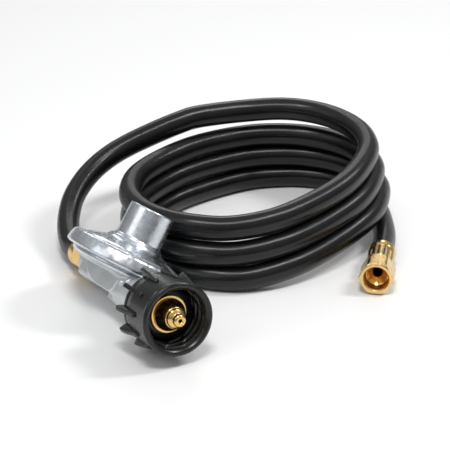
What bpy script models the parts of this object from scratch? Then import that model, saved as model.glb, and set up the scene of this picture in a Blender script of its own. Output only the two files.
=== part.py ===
"""Propane regulator hose: inlet hand nut, pressure regulator, coiled hose and swivel flare nut.

Metres, +Z up. The assembly lies on the plane z = 0, with the origin under the middle of the
regulator and its nuts. The regulator has its own axes, held by an empty: local -Y points out of the inlet,
local +Z up the spring tower, and both meet at the empty's origin.
"""
import bpy
import bmesh
import math
from mathutils import Matrix, Vector

MM = 0.001
GAP = 0.3 * MM                     # clearance kept between touching pieces
TAU = 2 * math.pi

# ---- how the regulator lies on the plane ----
MIDDLE = Vector((-7.72, 11.67, 0.0)) * MM   # every place below is measured from here
REGULATOR_AT = MIDDLE + Vector((0.0, 0.0, 16.47)) * MM
INLET_RISE = math.radians(8.4)     # the inlet axis points this far above the plane
TOWER_LEAN = math.radians(34.9)    # the tower leans this far towards +X

# ---- regulator housing ----
PAN_R = 38.6 * MM                  # rim of the crimped pan
PAN_BOTTOM = 10.0 * MM
PAN_TOP = 19.4 * MM
SEAT_R = 33.4 * MM                 # inside the pan wall
SEAT_Z = 13.0 * MM                 # ledge that the diaphragm's edge lies on
CHAMBER_R = 27.0 * MM
CHAMBER_FLOOR = 8.0 * MM
BOSS_R = 12.0 * MM
NECK_END = 50.0 * MM               # inlet neck, measured along -Y
OUTLET_END = 36.0 * MM             # outlet boss, measured along +Y
OUTLET_Z = 3.8 * MM                # the outlet sits a little nearer the diaphragm
TOWER_R = 14.1 * MM
TOWER_BORE_R = 10.9 * MM
TOWER_TOP = 47.3 * MM
TOWER_BASE = 28.0 * MM

# ---- diaphragm, spring and valve ----
PLATE_R = 20.0 * MM
PLATE_Z = 15.3 * MM
SPRING_R = 8.4 * MM                # to the middle of the wire
SPRING_WIRE_R = 0.8 * MM
SPRING_TURNS = 7
ADJUSTER_Z = 37.0 * MM
VALVE_Y = -14.0 * MM               # lever pin and the groove above it
PIN_Z = -7.6 * MM
PIN_R = 1.0 * MM
HOLDER_R = 4.5 * MM
NOSE_Y = -24.0 * MM                # face of the orifice
LEVER_TIP_Z = 8.6 * MM

# ---- inlet nipple and hand nut ----
NUT_REAR = 52.5 * MM
NUT_FRONT = 83.5 * MM
NUT_R = 20.8 * MM
NUT_LIP_R = 21.3 * MM
NUT_BORE_R = 17.0 * MM
NUT_BACK = 58.0 * MM
RIB_COUNT = 11
RIB_R = 24.5 * MM
RIB_LENGTH = 18.0 * MM
NIPPLE_TIP = 85.8 * MM

# ---- outlet adapter and hose ----
ADAPTER_HEX = 17.5 * MM            # across flats
ADAPTER_END = 61.3 * MM
HOSE_R = 7.15 * MM

# ---- hose coil: an oval whose edge runs COIL_ROUND outside a smaller ellipse ----
COIL_AT = Vector((120.0, 58.3)) * MM
COIL_SHIFT = Vector((1.7, -2.2)) * MM       # the centre moves this far each turn
COIL_LONG = 83.9 * MM
COIL_SHORT = 66.4 * MM
COIL_GROW = (2.8 * MM, 0.7 * MM)           # the half-widths grow this much each turn
COIL_ROUND = 50.0 * MM
COIL_TILT = math.radians(20.3)
COIL_ZERO = -107                            # degrees along the coil where the centre and size are as above
COIL_START = -78
COIL_END = 1062
COIL_POINTS = 49
COIL_DROPS = [(27, 114), (389, 474), (753, 836)]   # where each turn steps down to the next layer
COIL_TUCK = (880, 75, 7.5 * MM)             # the lowest turn stands this far off the pan's edge
COIL_LIFT = (-48, 95, 3.6 * MM)            # the first turn rides this much higher where it starts
LAYER = 15.6 * MM                           # one turn lies this far above the next
COIL_FLOOR = 7.3 * MM
LEAD_IN = [(3.4, 78.5, 10.3), (6.6, 89.6, 13.2), (12.2, 101.6, 17.4), (21.0, 114.2, 23.4),
           (32.7, 124.0, 29.6), (44.9, 130.3, 35.0), (57.9, 133.6, 40.0),
           (70.0, 134.4, 44.0), (81.4, 133.9, 47.5), (94.1, 132.8, 51.2), (106.9, 131.8, 54.4),
           (120.9, 131.2, 56.4)]
LEAD_OUT = [(210.2, 55.8, 7.3), (205.2, 35.2, 7.3), (195.9, 14.8, 7.4), (186.6, -1.8, 7.8)]
HOSE_FAR_END = MIDDLE + Vector((170.7, -23.6, 8.75)) * MM
HOSE_STRAIGHT = 9.0 * MM                    # the hose leaves each fitting straight for this far
HOSE_STEP = 23.5 * MM

# ---- far end of the hose ----
FAR_YAW = math.radians(-37.4)      # the far fitting points this way from -Y, turned towards -X
FAR_RISE = math.radians(2.6)
FERRULE_R = 8.6 * MM
FERRULE_LENGTH = 23.0 * MM
FLARE_HEX = 19.05 * MM
FLARE_LENGTH = 17.3 * MM
FLARE_AT = 26.0 * MM               # rear face of the flare nut, from the ferrule's rear face


def regulator_turn():
    return Matrix.Rotation(-INLET_RISE, 3, "X") @ Matrix.Rotation(TOWER_LEAN, 3, "Y")


def far_turn():
    return Matrix.Rotation(FAR_YAW, 3, "Z") @ Matrix.Rotation(-FAR_RISE, 3, "X")


def clear_scene():
    for thing in list(bpy.data.objects):
        bpy.data.objects.remove(thing, do_unlink=True)


def material(name, color, roughness, metallic):
    mat = bpy.data.materials.new(name)
    mat.use_nodes = True
    shader = mat.node_tree.nodes["Principled BSDF"]
    shader.inputs["Base Color"].default_value = (*color, 1)
    shader.inputs["Roughness"].default_value = roughness
    shader.inputs["Metallic"].default_value = metallic
    return mat


def empty(name, location, rotation=None, parent=None):
    obj = bpy.data.objects.new(name, None)
    bpy.context.collection.objects.link(obj)
    obj.parent = parent
    obj.location = location
    if rotation is not None:
        obj.rotation_euler = rotation.to_euler()
    return obj


def add_mesh(name, bm, mat, parent, at=(0, 0, 0), smooth_deg=32):
    bmesh.ops.recalc_face_normals(bm, faces=bm.faces)
    mesh = bpy.data.meshes.new(name)
    bm.to_mesh(mesh)
    bm.free()
    mesh.shade_smooth()
    mesh.set_sharp_from_angle(angle=math.radians(smooth_deg))
    obj = bpy.data.objects.new(name, mesh)
    bpy.context.collection.objects.link(obj)
    obj.parent = parent
    obj.location = at
    if mat is not None:
        obj.data.materials.append(mat)
    return obj


def turn(profile, axis="Z", sides=48):
    """A closed outline of (radius, height) pairs, turned about an axis through the origin."""
    bm = bmesh.new()
    columns = []
    for radius, height in profile:
        if radius < 1e-7:
            columns.append([bm.verts.new((0, 0, height))] * sides)
            continue
        ring = []
        for i in range(sides):
            angle = TAU * i / sides
            ring.append(bm.verts.new((radius * math.cos(angle), radius * math.sin(angle), height)))
        columns.append(ring)
    for low, high in zip(columns, columns[1:] + columns[:1]):
        for i in range(sides):
            corners = []
            for vert in (low[i], low[(i + 1) % sides], high[(i + 1) % sides], high[i]):
                if vert not in corners:
                    corners.append(vert)
            if len(corners) > 2:
                bm.faces.new(corners)
    if axis == "-Y":
        bmesh.ops.rotate(bm, verts=bm.verts, matrix=Matrix.Rotation(math.pi / 2, 3, "X"))
    if axis == "+Y":
        bmesh.ops.rotate(bm, verts=bm.verts, matrix=Matrix.Rotation(-math.pi / 2, 3, "X"))
    if axis == "+X":
        bmesh.ops.rotate(bm, verts=bm.verts, matrix=Matrix.Rotation(math.pi / 2, 3, "Y"))
    return bm


def rod(radius, low, high, axis="Z", sides=32):
    return turn([(0, low), (radius, low), (radius, high), (0, high)], axis, sides)


def block(low, high):
    bm = bmesh.new()
    bmesh.ops.create_cube(bm, size=1)
    low, high = Vector(low), Vector(high)
    size = high - low
    bmesh.ops.scale(bm, vec=size, verts=bm.verts)
    bmesh.ops.translate(bm, vec=(low + high) / 2, verts=bm.verts)
    return bm


def plate(outline, half_width):
    """A flat plate across X, from an outline of (y, z) points."""
    bm = bmesh.new()
    face = bm.faces.new([bm.verts.new((-half_width, y, z)) for y, z in outline])
    out = bmesh.ops.extrude_face_region(bm, geom=[face])
    moved = [item for item in out["geom"] if isinstance(item, bmesh.types.BMVert)]
    bmesh.ops.translate(bm, vec=(2 * half_width, 0, 0), verts=moved)
    return bm


def merge(meshes):
    bm = bmesh.new()
    for part in meshes:
        temp = bpy.data.meshes.new("temp")
        part.to_mesh(temp)
        part.free()
        bm.from_mesh(temp)
        bpy.data.meshes.remove(temp)
    return bm


def combine(obj, bm, operation, at=(0, 0, 0)):
    """Add a Boolean whose guide shape rides with the object's parent."""
    guide = add_mesh(obj.name + "_guide", bm, None, obj.parent, at)
    guide.hide_render = True
    guide.display_type = "WIRE"
    mod = obj.modifiers.new(operation.lower(), "BOOLEAN")
    mod.operation = operation
    mod.object = guide
    mod.solver = "EXACT"
    return guide


def hex_prism(across_flats, low, high, axis, chamfer=0.0, corner_deg=0.0):
    radius = across_flats / math.sqrt(3)
    small = radius - chamfer
    levels = [(radius, low), (radius, high)]
    if chamfer > 0:
        levels = [(small, low), (radius, low + chamfer * 0.5), (radius, high - chamfer * 0.5), (small, high)]
    bm = turn([(0, low)] + levels + [(0, high)], "Z", 6)
    bmesh.ops.rotate(bm, verts=bm.verts, matrix=Matrix.Rotation(math.radians(corner_deg), 3, "Z"))
    turned = {"-Y": math.pi / 2, "+Y": -math.pi / 2}[axis]
    bmesh.ops.rotate(bm, verts=bm.verts, matrix=Matrix.Rotation(turned, 3, "X"))
    return bm


def helix(radius, wire_r, low, high, turns, axis="Z", steps=12, sides=6):
    """A round-wire compression spring with flat-capped ends."""
    bm = bmesh.new()
    count = int(turns * steps)
    bottom, top = low + wire_r, high - wire_r
    rings = []
    for i in range(count + 1):
        share = i / count
        angle = TAU * turns * share
        centre = Vector((radius * math.cos(angle), radius * math.sin(angle), bottom + (top - bottom) * share))
        outward = Vector((math.cos(angle), math.sin(angle), 0))
        ring = []
        for k in range(sides):
            swing = TAU * k / sides
            offset = outward * math.cos(swing) * wire_r + Vector((0, 0, 1)) * math.sin(swing) * wire_r
            ring.append(bm.verts.new(centre + offset))
        rings.append(ring)
    for first, second in zip(rings, rings[1:]):
        for k in range(sides):
            nxt = (k + 1) % sides
            bm.faces.new((first[k], first[nxt], second[nxt], second[k]))
    bm.faces.new(rings[0])
    bm.faces.new(list(reversed(rings[-1])))
    if axis == "-Y":
        bmesh.ops.rotate(bm, verts=bm.verts, matrix=Matrix.Rotation(math.pi / 2, 3, "X"))
    return bm


# ---------------------------------------------------------------- regulator

def make_body_casting(parent, mats):
    outline = [(0, 5.0 * MM), (24 * MM, 5.0 * MM), (28.5 * MM, 5.9 * MM), (32.4 * MM, 7.0 * MM),
               (33.2 * MM, 8.0 * MM), (33.2 * MM, PAN_BOTTOM), (36.8 * MM, PAN_BOTTOM),
               (38.1 * MM, PAN_BOTTOM + 0.5 * MM), (PAN_R, PAN_BOTTOM + 1.6 * MM), (37.3 * MM, PAN_TOP - 1.8 * MM),
               (36.4 * MM, PAN_TOP - 0.5 * MM), (35.0 * MM, PAN_TOP), (31.6 * MM, PAN_TOP), (31.2 * MM, PAN_TOP - 0.8 * MM),
               (31.4 * MM, 18.1 * MM), (SEAT_R, 18.1 * MM), (SEAT_R, SEAT_Z), (CHAMBER_R + 1 * MM, SEAT_Z),
               (CHAMBER_R, SEAT_Z - 1 * MM), (CHAMBER_R, CHAMBER_FLOOR), (0, CHAMBER_FLOOR)]
    body = add_mesh("body_casting", turn(outline, "Z", 48), mats["cast"], parent)
    neck = [(0, -8 * MM), (BOSS_R, -8 * MM), (BOSS_R, 36 * MM), (BOSS_R - 1.2 * MM, 39 * MM),
            (BOSS_R - 1.2 * MM, NECK_END - 0.8 * MM), (BOSS_R - 2 * MM, NECK_END), (0, NECK_END)]
    combine(body, turn(neck, "-Y", 32), "UNION")
    keel = block((-BOSS_R + 0.3 * MM, -29 * MM, -1 * MM), (BOSS_R - 0.3 * MM, 29 * MM, 6.5 * MM))
    combine(body, keel, "UNION")
    outlet = [(0, -8 * MM), (BOSS_R - 0.6 * MM, -8 * MM), (BOSS_R - 0.6 * MM, 29 * MM), (BOSS_R, 30 * MM),
              (BOSS_R, OUTLET_END - 0.8 * MM), (BOSS_R - 0.8 * MM, OUTLET_END), (0, OUTLET_END)]
    combine(body, turn(outlet, "+Y", 32), "UNION", (0, 0, OUTLET_Z))
    room = [(0, CHAMBER_FLOOR), (CHAMBER_R - 0.2 * MM, CHAMBER_FLOOR), (CHAMBER_R - 0.2 * MM, SEAT_Z + 0.05 * MM),
            (SEAT_R - 0.05 * MM, SEAT_Z + 0.05 * MM), (SEAT_R - 0.05 * MM, 18 * MM), (0, 18 * MM)]
    combine(body, turn(room, "Z", 48), "DIFFERENCE")
    combine(body, block((-3.6 * MM, -19 * MM, -10.6 * MM), (3.6 * MM, 6 * MM, 10 * MM)), "DIFFERENCE")
    inlet = [(0, 8 * MM), (5.3 * MM, 8 * MM), (5.3 * MM, 24.6 * MM), (4.3 * MM, 24.6 * MM), (4.3 * MM, 32 * MM),
             (7.0 * MM, 32 * MM), (7.0 * MM, NECK_END + 5 * MM), (0, NECK_END + 5 * MM)]
    combine(body, turn(inlet, "-Y", 24), "DIFFERENCE")
    port = [(0, 0), (4.0 * MM, 0), (4.0 * MM, 23 * MM), (8.5 * MM, 23 * MM), (8.5 * MM, OUTLET_END + 5 * MM),
            (0, OUTLET_END + 5 * MM)]
    combine(body, turn(port, "+Y", 24), "DIFFERENCE", (0, 0, OUTLET_Z))
    combine(body, rod(PIN_R + GAP, -6.5 * MM, 20 * MM, "+X", 16), "DIFFERENCE", (0, VALVE_Y, PIN_Z))
    return body


def make_bonnet(parent, mats):
    outline = [(28.6 * MM, 15.3 * MM), (33.1 * MM, 15.3 * MM), (33.1 * MM, 17.8 * MM), (30.9 * MM, 17.8 * MM),
               (30.4 * MM, 18.6 * MM), (27.5 * MM, 20.6 * MM), (22 * MM, 22.6 * MM), (17.6 * MM, 24.4 * MM),
               (15.2 * MM, 26.2 * MM), (TOWER_R, TOWER_BASE), (TOWER_R, TOWER_TOP - 0.5 * MM),
               (TOWER_R - 0.5 * MM, TOWER_TOP), (TOWER_BORE_R + 0.3 * MM, TOWER_TOP),
               (TOWER_BORE_R, TOWER_TOP - 0.3 * MM), (TOWER_BORE_R, 25.5 * MM), (13.5 * MM, 23.4 * MM),
               (21 * MM, 20.6 * MM), (26.4 * MM, 18.4 * MM)]
    bonnet = add_mesh("bonnet", turn(outline, "Z", 48), mats["bonnet"], parent)
    vent_at = vent_place()
    combine(bonnet, rod(2.6 * MM, -6 * MM, 6 * MM, "Z", 20), "DIFFERENCE", vent_at)
    return bonnet


def vent_place():
    swing = math.radians(150)
    return Vector((23.5 * MM * math.cos(swing), 23.5 * MM * math.sin(swing), 21.0 * MM))


def make_vent_screen(parent, mats):
    ring = turn([(0, -0.5 * MM), (2.2 * MM, -0.5 * MM), (2.2 * MM, 0.3 * MM), (0, 0.3 * MM)], "Z", 20)
    screen = add_mesh("vent_screen", ring, mats["steel"], parent, vent_place() - Vector((0, 0, 0.1 * MM)))
    holes = [rod(0.28 * MM, -2 * MM, 2 * MM, "Z", 6) for _ in range(6)]
    for i, hole in enumerate(holes):
        swing = TAU * i / len(holes)
        bmesh.ops.translate(hole, verts=hole.verts, vec=(1.2 * MM * math.cos(swing), 1.2 * MM * math.sin(swing), 0))
    combine(screen, merge(holes), "DIFFERENCE", vent_place())
    return screen


def make_diaphragm(parent, mats):
    low = SEAT_Z + GAP
    outline = [(2.4 * MM, low + 0.7 * MM), (20.6 * MM, low + 0.7 * MM), (22 * MM, low - 1.2 * MM),
               (24.6 * MM, low - 1.2 * MM), (26 * MM, low + 0.0 * MM), (33.1 * MM, low), (33.1 * MM, 15.0 * MM),
               (27 * MM, 15.0 * MM), (25.4 * MM, low + 1.0 * MM), (24 * MM, low + 0.0 * MM),
               (22.8 * MM, low + 0.0 * MM), (21.4 * MM, 15.0 * MM), (2.4 * MM, 15.0 * MM)]
    return add_mesh("diaphragm", turn(outline, "Z", 48), mats["rubber"], parent)


def make_diaphragm_plate(parent, mats):
    top = PLATE_Z + 1.1 * MM
    outline = [(2.4 * MM, PLATE_Z), (PLATE_R - 0.6 * MM, PLATE_Z), (PLATE_R, PLATE_Z + 0.4 * MM),
               (PLATE_R, top + 0.8 * MM), (PLATE_R - 0.9 * MM, top + 0.8 * MM), (PLATE_R - 1.2 * MM, top),
               (2.4 * MM, top)]
    return add_mesh("diaphragm_plate", turn(outline, "Z", 36), mats["steel"], parent)


def make_stem(parent, mats):
    head = PLATE_Z + 1.4 * MM
    shaft = [(0, 10.4 * MM), (2.0 * MM, 10.4 * MM), (2.0 * MM, head), (4.2 * MM, head), (4.6 * MM, head + 0.4 * MM),
             (4.6 * MM, head + 1.4 * MM), (3.8 * MM, head + 2.0 * MM), (0, head + 2.0 * MM)]
    stem = add_mesh("diaphragm_stem", turn(shaft, "Z", 24), mats["zinc"], parent)
    combine(stem, block((-3 * MM, -2.5 * MM, 6.2 * MM), (3 * MM, 2.5 * MM, 11.2 * MM)), "UNION")
    window = block((-1.9 * MM, -6 * MM, LEVER_TIP_Z - 1.2 * MM), (1.9 * MM, 6 * MM, LEVER_TIP_Z + 1.2 * MM))
    combine(stem, window, "DIFFERENCE")
    return stem


def make_lever(parent, mats):
    """A bent plate: a short finger up into the valve holder and a long arm to the diaphragm."""
    half = 0.7 * MM
    tip = LEVER_TIP_Z - PIN_Z
    outline = [(-2.6 * MM, -2.0 * MM), (2.0 * MM, -2.2 * MM), (7.0 * MM, -1.6 * MM), (10.4 * MM, tip - half),
               (18.4 * MM, tip - half), (18.4 * MM, tip + half), (9.2 * MM, tip + half), (5.6 * MM, 1.2 * MM),
               (1.0 * MM, 1.8 * MM), (0.9 * MM, 4.7 * MM), (-0.9 * MM, 4.7 * MM), (-1.2 * MM, 1.8 * MM),
               (-2.6 * MM, 1.0 * MM)]
    lever = add_mesh("lever", plate(outline, 1.5 * MM), mats["steel"], parent)
    combine(lever, rod(PIN_R + GAP, -4 * MM, 4 * MM, "+X", 16), "DIFFERENCE")
    return lever


def make_valve(parent, mats):
    front = -NOSE_Y - 0.9 * MM
    back = -VALVE_Y
    holder = [(0, back - 3.4 * MM), (HOLDER_R - 0.4 * MM, back - 3.4 * MM), (HOLDER_R, back - 3.0 * MM),
              (HOLDER_R, back - 1.4 * MM), (2.5 * MM, back - 1.4 * MM), (2.5 * MM, back + 1.4 * MM),
              (HOLDER_R, back + 1.4 * MM), (HOLDER_R, front), (3.6 * MM, front), (3.6 * MM, front - 2.0 * MM),
              (0, front - 2.0 * MM)]
    add_mesh("valve_holder", turn(holder, "-Y", 28), mats["zinc"], parent)
    disc = [(0, front - 1.7 * MM), (3.3 * MM, front - 1.7 * MM), (3.3 * MM, front), (0, front)]
    add_mesh("valve_disc", turn(disc, "-Y", 24), mats["rubber"], parent)


def make_orifice(parent, mats):
    nose = -NOSE_Y
    outline = [(1.0 * MM, nose + 0.4 * MM), (1.4 * MM, nose), (2.4 * MM, nose), (4.0 * MM, nose + 1.6 * MM),
               (4.0 * MM, 32.3 * MM), (6.4 * MM, 32.3 * MM), (6.4 * MM, 34.4 * MM), (2.6 * MM, 34.4 * MM),
               (1.0 * MM, 32.4 * MM)]
    return add_mesh("inlet_orifice", turn(outline, "-Y", 24), mats["brass"], parent)


def make_inlet(parent, mats):
    nipple = [(2.2 * MM, 36 * MM), (6.0 * MM, 36 * MM), (6.7 * MM, 37 * MM), (6.7 * MM, NECK_END + GAP),
              (10.3 * MM, NECK_END + GAP), (10.3 * MM, 69.6 * MM), (8.4 * MM, 69.6 * MM), (8.4 * MM, 71.5 * MM),
              (9.4 * MM, 71.5 * MM), (9.2 * MM, 73.0 * MM), (6.6 * MM, 78.6 * MM), (6.0 * MM, 79.2 * MM),
              (4.3 * MM, 79.2 * MM), (4.3 * MM, 55 * MM), (2.2 * MM, 54 * MM)]
    add_mesh("inlet_nipple", turn(nipple, "-Y", 28), mats["brass"], parent)
    tip = [(1.0 * MM, 73.4 * MM), (4.0 * MM, 73.4 * MM), (4.0 * MM, 79.5 * MM), (5.6 * MM, 79.5 * MM),
           (5.4 * MM, 80.4 * MM), (4.0 * MM, 81.4 * MM), (3.5 * MM, 82.2 * MM), (3.7 * MM, 83.4 * MM),
           (3.7 * MM, NIPPLE_TIP - 0.8 * MM), (3.0 * MM, NIPPLE_TIP), (1.0 * MM, NIPPLE_TIP)]
    add_mesh("nipple_tip", turn(tip, "-Y", 20), mats["brass"], parent)
    ring = [(8.7 * MM, 69.9 * MM), (10.9 * MM, 69.9 * MM), (11.1 * MM, 70.3 * MM), (10.9 * MM, 71.2 * MM),
            (8.7 * MM, 71.2 * MM)]
    add_mesh("retaining_ring", turn(ring, "-Y", 28), mats["brass"], parent)


def make_check(parent, mats):
    poppet = [(0, 65.4 * MM), (1.4 * MM, 65.4 * MM), (1.4 * MM, 68.4 * MM), (3.8 * MM, 68.4 * MM),
              (3.8 * MM, 71.2 * MM), (1.8 * MM, 73.1 * MM), (0, 73.1 * MM)]
    add_mesh("check_poppet", turn(poppet, "-Y", 24), mats["poppet"], parent)


def make_check_spring(parent, mats):
    coil = helix(3.2 * MM, 0.35 * MM, 55.4 * MM, 68.1 * MM, 5, "-Y", 10, 5)
    add_mesh("check_spring", coil, mats["steel"], parent)


def make_thermal_bushing(parent, mats):
    outline = [(10.6 * MM, NUT_BACK + GAP), (16.2 * MM, NUT_BACK + GAP), (16.2 * MM, 66.6 * MM),
               (14.4 * MM, 69.0 * MM), (11.4 * MM, 69.6 * MM), (10.6 * MM, 69.6 * MM)]
    add_mesh("thermal_bushing", turn(outline, "-Y", 32), mats["nut"], parent)


def make_rib():
    """One grip rib: tallest at the rear of the nut, sinking into the barrel towards the front."""
    half = 1.4 * MM
    root = NUT_R - 2.2 * MM
    rear, front = NUT_REAR + 0.4 * MM, NUT_REAR + RIB_LENGTH
    side = [(root, rear), (RIB_R - 0.5 * MM, rear), (RIB_R, rear + 0.5 * MM), (RIB_R - 0.6 * MM, rear + 8 * MM),
            (NUT_R + 1.3 * MM, front - 1.2 * MM), (NUT_R + 0.9 * MM, front - 0.3 * MM),
            (NUT_R - 0.2 * MM, front), (root, front)]
    bm = bmesh.new()
    face = bm.faces.new([bm.verts.new((radius, -half, along)) for radius, along in side])
    out = bmesh.ops.extrude_face_region(bm, geom=[face])
    moved = [item for item in out["geom"] if isinstance(item, bmesh.types.BMVert)]
    bmesh.ops.translate(bm, vec=(0, 2 * half, 0), verts=moved)
    return bm


def make_hand_nut(parent, mats):
    outline = [(11.2 * MM, NUT_REAR), (19.4 * MM, NUT_REAR), (20.2 * MM, NUT_REAR + 0.8 * MM),
               (20.2 * MM, NUT_REAR + 3.2 * MM), (19.5 * MM, NUT_REAR + 3.6 * MM), (19.5 * MM, NUT_REAR + 4.6 * MM),
               (20.2 * MM, NUT_REAR + 5.0 * MM), (NUT_R, NUT_REAR + 8 * MM), (NUT_R, NUT_FRONT - 2.8 * MM),
               (NUT_LIP_R, NUT_FRONT - 2.0 * MM), (NUT_LIP_R, NUT_FRONT - 0.7 * MM),
               (NUT_LIP_R - 0.7 * MM, NUT_FRONT), (18.6 * MM, NUT_FRONT), (NUT_BORE_R, NUT_FRONT - 1.8 * MM),
               (NUT_BORE_R, NUT_BACK), (11.2 * MM, NUT_BACK)]
    nut = add_mesh("qcc_nut", turn(outline, "-Y", 44), mats["nut"], parent)
    ribs = []
    for i in range(RIB_COUNT):
        rib = make_rib()
        bmesh.ops.rotate(rib, verts=rib.verts, matrix=Matrix.Rotation(TAU * (i + 0.25) / RIB_COUNT, 3, "Z"))
        bmesh.ops.rotate(rib, verts=rib.verts, matrix=Matrix.Rotation(math.pi / 2, 3, "X"))
        ribs.append(rib)
    combine(nut, merge(ribs), "UNION")
    return nut


def make_spring_stack(parent, mats):
    low = PLATE_Z + 1.1 * MM + GAP
    add_mesh("main_spring", helix(SPRING_R, SPRING_WIRE_R, low, ADJUSTER_Z - GAP, SPRING_TURNS), mats["steel"], parent)


def make_adjuster(parent, mats):
    outline = [(3.4 * MM, ADJUSTER_Z), (9.8 * MM, ADJUSTER_Z), (10.5 * MM, ADJUSTER_Z + 0.6 * MM),
               (10.5 * MM, ADJUSTER_Z + 4.2 * MM), (9.9 * MM, ADJUSTER_Z + 4.8 * MM), (3.4 * MM, ADJUSTER_Z + 4.8 * MM)]
    screw = add_mesh("adjusting_screw", turn(outline, "Z", 28), mats["poppet"], parent)
    slot = block((-6.5 * MM, -1.0 * MM, ADJUSTER_Z + 2.6 * MM), (6.5 * MM, 1.0 * MM, ADJUSTER_Z + 8 * MM))
    combine(screw, slot, "DIFFERENCE")


def make_tower_cap(parent, mats):
    low = ADJUSTER_Z + 5.4 * MM
    outline = [(0, low + 2.2 * MM), (8.2 * MM, low + 2.2 * MM), (8.2 * MM, low), (10.0 * MM, low),
               (10.5 * MM, low + 0.5 * MM), (10.5 * MM, TOWER_TOP - 0.9 * MM), (10.0 * MM, TOWER_TOP - 0.5 * MM),
               (0, TOWER_TOP - 0.5 * MM)]
    cap = add_mesh("tower_cap", turn(outline, "Z", 28), mats["zinc"], parent)
    combine(cap, block((-7.5 * MM, -1.1 * MM, TOWER_TOP - 1.9 * MM), (7.5 * MM, 1.1 * MM, TOWER_TOP + 3 * MM)),
            "DIFFERENCE")


def make_adapter(parent, mats):
    stub = [(0, 24 * MM), (7.6 * MM, 24 * MM), (8.2 * MM, 25 * MM), (8.2 * MM, 40 * MM), (0, 40 * MM)]
    adapter = add_mesh("outlet_adapter", turn(stub, "+Y", 32), mats["brass"], parent, (0, 0, OUTLET_Z))
    combine(adapter, hex_prism(ADAPTER_HEX, 38.6 * MM, 53 * MM, "+Y", 0.8 * MM, 12), "UNION", (0, 0, OUTLET_Z))
    sleeve = [(0, 52 * MM), (8.3 * MM, 52 * MM), (8.8 * MM, 54 * MM), (8.8 * MM, ADAPTER_END - 0.8 * MM),
              (8.0 * MM, ADAPTER_END), (0, ADAPTER_END)]
    combine(adapter, turn(sleeve, "+Y", 32), "UNION", (0, 0, OUTLET_Z))
    combine(adapter, rod(3.6 * MM, 20 * MM, 66 * MM, "+Y", 24), "DIFFERENCE", (0, 0, OUTLET_Z))


# ---------------------------------------------------------------- hose

def smooth_step(share):
    share = min(1.0, max(0.0, share))
    return share * share * (3 - 2 * share)


def coil_point(degrees):
    """The hose's middle on the coil; degrees grow along the hose, clockwise seen from above."""
    turns = (degrees - COIL_ZERO) / 360
    angle = -math.radians(degrees) - COIL_TILT
    long_part = COIL_LONG + COIL_GROW[0] * turns - COIL_ROUND
    short_part = COIL_SHORT + COIL_GROW[1] * turns - COIL_ROUND
    across, along = math.cos(angle), math.sin(angle)
    reach = math.hypot(long_part * across, short_part * along)
    x = across * (long_part * long_part / reach + COIL_ROUND)
    y = along * (short_part * short_part / reach + COIL_ROUND)
    centre = COIL_AT + COIL_SHIFT * turns
    flat = centre + Matrix.Rotation(COIL_TILT, 2) @ Vector((x, y))
    tuck_at, tuck_width, tuck = COIL_TUCK
    flat.x += tuck * smooth_step(1 - abs(degrees - tuck_at) / tuck_width)
    drops = sum(smooth_step((degrees - low) / (high - low)) for low, high in COIL_DROPS)
    lift_at, lift_width, lift = COIL_LIFT
    rise = lift * smooth_step(1 - abs(degrees - lift_at) / lift_width)
    return Vector((flat.x, flat.y, COIL_FLOOR + LAYER * (len(COIL_DROPS) - drops) + rise))


def hose_ends():
    """The middle of each end face of the hose, and the way the hose leaves the fitting there."""
    lie = regulator_turn()
    near = REGULATOR_AT + lie @ Vector((0, ADAPTER_END + GAP, OUTLET_Z))
    return (near, lie @ Vector((0, 1, 0))), (HOSE_FAR_END, far_turn() @ Vector((0, 1, 0)))


def route():
    (near, near_way), (far, far_way) = hose_ends()
    points = [near + near_way * HOSE_STRAIGHT] + [MIDDLE + Vector(p) * MM for p in LEAD_IN]
    for i in range(COIL_POINTS):
        points.append(MIDDLE + coil_point(COIL_START + (COIL_END - COIL_START) * i / (COIL_POINTS - 1)))
    return points + [MIDDLE + Vector(p) * MM for p in LEAD_OUT] + [far + far_way * HOSE_STRAIGHT]


def smooth_route(points, step):
    """Points a steady step apart on a Catmull-Rom curve through the route's own points."""
    ends = [points[0] * 2 - points[1]] + points + [points[-1] * 2 - points[-2]]
    dense = []
    for a, b, c, d in zip(ends, ends[1:], ends[2:], ends[3:]):
        for k in range(12):
            t = k / 12
            dense.append(0.5 * (2 * b + (c - a) * t + (2 * a - 5 * b + 4 * c - d) * t ** 2
                                + (3 * b - a - 3 * c + d) * t ** 3))
    dense.append(points[-1])
    length = sum((q - p).length for p, q in zip(dense, dense[1:]))
    count = int(round(length / step))
    spaced, walked, goal = [dense[0]], 0.0, length / count
    for p, q in zip(dense, dense[1:]):
        span = (q - p).length
        while walked + span >= goal * len(spaced) - 1e-9 and len(spaced) < count:
            spaced.append(p.lerp(q, (goal * len(spaced) - walked) / span))
        walked += span
    spaced.append(dense[-1])
    return spaced


def make_hose(mats):
    (near, _), (far, _) = hose_ends()
    points = [near] + smooth_route(route(), HOSE_STEP) + [far]
    curve = bpy.data.curves.new("hose", "CURVE")
    curve.dimensions = "3D"
    curve.bevel_depth = HOSE_R
    curve.bevel_resolution = 2
    curve.use_fill_caps = True
    spline = curve.splines.new("POLY")
    spline.points.add(len(points) - 1)
    for spot, point in zip(spline.points, points):
        spot.co = (*point, 1)
    obj = bpy.data.objects.new("hose", curve)
    bpy.context.collection.objects.link(obj)
    obj.data.materials.append(mats["hose"])


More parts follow.
